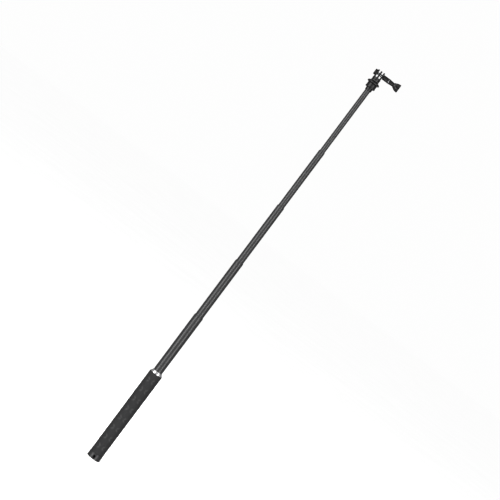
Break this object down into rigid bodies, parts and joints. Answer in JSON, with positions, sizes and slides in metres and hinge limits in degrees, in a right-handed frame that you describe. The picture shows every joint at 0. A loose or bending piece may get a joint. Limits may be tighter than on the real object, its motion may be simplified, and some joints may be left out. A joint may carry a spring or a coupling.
{
  "type": "selfie stick",
  "caption": "Telescopic pole with a rubber-gripped handle, twist-locked nested tubes and a swivelling three-finger camera mount with a thumb screw.",
  "frame": {"origin": "centre of the butt's flat face", "axes": "+Z along the pole towards the camera mount, +X along the thumb screw, with the pole fully extended"},
  "size_m": [0.0594, 0.028, 0.9183],
  "materials": {
    "grip_rubber": "matte black moulded rubber with smooth diamond ribs",
    "butt_plastic": "satin-gloss black plastic",
    "tube_black": "satin black anodised aluminium tube",
    "raw_aluminium": "plain drawn aluminium, hidden under the grip",
    "polished_aluminium": "polished turned aluminium",
    "head_plastic": "black glass-filled nylon, lightly textured",
    "bush_nylon": "black nylon bearing bush",
    "lock_nylon": "natural white nylon, hidden inside the tubes",
    "washer_grey": "dark grey rubber friction washer",
    "insert_brass": "plain turned brass",
    "steel": "zinc-plated steel"
  },
  "bodies": {
    "handle": {"end_cap": "butt_plastic", "handle_tube": "raw_aluminium", "grip": "grip_rubber", "collar": "polished_aluminium", "handle_bush": "bush_nylon"},
    "lock_1": {"lock_sleeve_1": "lock_nylon"},
    "expander_1": {"lock_cone_1": "lock_nylon"},
    "stage_1": {"tube_1": "tube_black", "lock_plug_1": "lock_nylon", "lock_screw_1": "steel", "guide_bush_1": "bush_nylon"},
    "lock_2": {"lock_sleeve_2": "lock_nylon"},
    "expander_2": {"lock_cone_2": "lock_nylon"},
    "stage_2": {"tube_2": "tube_black", "lock_plug_2": "lock_nylon", "lock_screw_2": "steel", "guide_bush_2": "bush_nylon"},
    "lock_3": {"lock_sleeve_3": "lock_nylon"},
    "expander_3": {"lock_cone_3": "lock_nylon"},
    "stage_3": {"tube_3": "tube_black", "lock_plug_3": "lock_nylon", "lock_screw_3": "steel", "guide_bush_3": "bush_nylon"},
    "lock_4": {"lock_sleeve_4": "lock_nylon"},
    "expander_4": {"lock_cone_4": "lock_nylon"},
    "stage_4": {"tube_4": "tube_black", "lock_plug_4": "lock_nylon", "lock_screw_4": "steel", "guide_bush_4": "bush_nylon"},
    "lock_5": {"lock_sleeve_5": "lock_nylon"},
    "expander_5": {"lock_cone_5": "lock_nylon"},
    "stage_5": {"tube_5": "tube_black", "lock_plug_5": "lock_nylon", "lock_screw_5": "steel", "head_ferrule": "head_plastic", "head_body": "head_plastic", "swivel_stud": "steel"},
    "jam_ring": {"jam_ring": "head_plastic"},
    "mount": {"finger_mount": "head_plastic", "thread_insert": "insert_brass", "swivel_washer": "washer_grey", "captive_nut": "steel"},
    "thumb_screw": {"thumb_bolt": "steel", "thumb_knob": "head_plastic", "knob_ring": "steel"}
  },
  "joints": [
    {"name": "tube_1_slide", "type": "slide", "parent": "handle", "child": "lock_1", "axis": [0, 0, 1], "range_m": [-0.1248, 0]},
    {"name": "tube_1_twist", "type": "hinge", "parent": "lock_1", "child": "stage_1", "pos_m": [0, 0, 0.2], "axis": [0, 0, 1], "range_deg": [-180, 0]},
    {"name": "cone_1_travel", "type": "slide", "parent": "lock_1", "child": "expander_1", "axis": [0, 0, 1], "range_m": [-0.00025, 0]},
    {"name": "tube_2_slide", "type": "slide", "parent": "stage_1", "child": "lock_2", "axis": [0, 0, 1], "range_m": [-0.1226, 0]},
    {"name": "tube_2_twist", "type": "hinge", "parent": "lock_2", "child": "stage_2", "pos_m": [0, 0, 0.2], "axis": [0, 0, 1], "range_deg": [-180, 0]},
    {"name": "cone_2_travel", "type": "slide", "parent": "lock_2", "child": "expander_2", "axis": [0, 0, 1], "range_m": [-0.00025, 0]},
    {"name": "tube_3_slide", "type": "slide", "parent": "stage_2", "child": "lock_3", "axis": [0, 0, 1], "range_m": [-0.12385, 0]},
    {"name": "tube_3_twist", "type": "hinge", "parent": "lock_3", "child": "stage_3", "pos_m": [0, 0, 0.2], "axis": [0, 0, 1], "range_deg": [-180, 0]},
    {"name": "cone_3_travel", "type": "slide", "parent": "lock_3", "child": "expander_3", "axis": [0, 0, 1], "range_m": [-0.00025, 0]},
    {"name": "tube_4_slide", "type": "slide", "parent": "stage_3", "child": "lock_4", "axis": [0, 0, 1], "range_m": [-0.12305, 0]},
    {"name": "tube_4_twist", "type": "hinge", "parent": "lock_4", "child": "stage_4", "pos_m": [0, 0, 0.2], "axis": [0, 0, 1], "range_deg": [-180, 0]},
    {"name": "cone_4_travel", "type": "slide", "parent": "lock_4", "child": "expander_4", "axis": [0, 0, 1], "range_m": [-0.00025, 0]},
    {"name": "tube_5_slide", "type": "slide", "parent": "stage_4", "child": "lock_5", "axis": [0, 0, 1], "range_m": [-0.1362, 0]},
    {"name": "tube_5_twist", "type": "hinge", "parent": "lock_5", "child": "stage_5", "pos_m": [0, 0, 0.2], "axis": [0, 0, 1], "range_deg": [-180, 0]},
    {"name": "cone_5_travel", "type": "slide", "parent": "lock_5", "child": "expander_5", "axis": [0, 0, 1], "range_m": [-0.00025, 0]},
    {"name": "jam_ring_turn", "type": "hinge", "parent": "stage_5", "child": "jam_ring", "pos_m": [0, 0, 0.89], "axis": [0, 0, 1], "range_deg": [-90, 0]},
    {"name": "head_swivel", "type": "hinge", "parent": "stage_5", "child": "mount", "pos_m": [0, 0, 0.8993], "axis": [0, 0, 1], "continuous": true},
    {"name": "thumb_screw_turn", "type": "hinge", "parent": "mount", "child": "thumb_screw", "pos_m": [0, 0, 0.9099], "axis": [1, 0, 0], "continuous": true}
  ],
  "couplings": [
    {"joint": "cone_1_travel", "follows": "tube_1_twist", "m_per_rad": 0.000079577},
    {"joint": "cone_2_travel", "follows": "tube_2_twist", "m_per_rad": 0.000079577},
    {"joint": "cone_3_travel", "follows": "tube_3_twist", "m_per_rad": 0.000079577},
    {"joint": "cone_4_travel", "follows": "tube_4_twist", "m_per_rad": 0.000079577},
    {"joint": "cone_5_travel", "follows": "tube_5_twist", "m_per_rad": 0.000079577}
  ]
}
